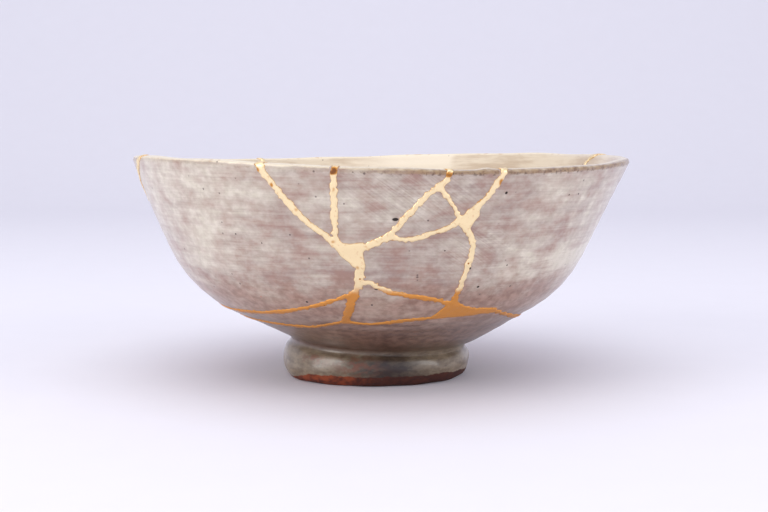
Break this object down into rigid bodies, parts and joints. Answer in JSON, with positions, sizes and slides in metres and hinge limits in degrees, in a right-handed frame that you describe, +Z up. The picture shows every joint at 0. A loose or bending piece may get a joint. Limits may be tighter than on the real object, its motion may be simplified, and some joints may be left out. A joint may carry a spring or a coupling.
{
  "type": "kintsugi tea bowl",
  "caption": "Mended stoneware tea bowl on a turned foot ring: flared wall, wide mouth, broken sherds joined with gold seams, with a brushed pale slip glaze.",
  "frame": {"origin": "on the table, under the middle of the rim", "axes": "+Z up along the bowl's axis; -Y is the front, with the gold star of seams; +X to the right of it"},
  "size_m": [0.1498, 0.1498, 0.0677],
  "materials": {
    "stoneware": "satin glaze over brushed white slip, mauve-grey body",
    "gold": "burnished gold dust over lacquer"
  },
  "bodies": {
    "root": {"base_and_foot_sherd": "stoneware", "left_front_sherd": "stoneware", "left_rim_sherd": "stoneware", "middle_rim_sherd": "stoneware", "small_triangle_sherd": "stoneware", "right_rim_sherd": "stoneware", "centre_sherd": "stoneware", "right_side_sherd": "stoneware", "lower_front_sherd": "stoneware", "lower_left_sherd": "stoneware", "left_back_sherd": "stoneware", "back_sherd": "stoneware", "gold_seams": "gold"}
  },
  "joints": []
}
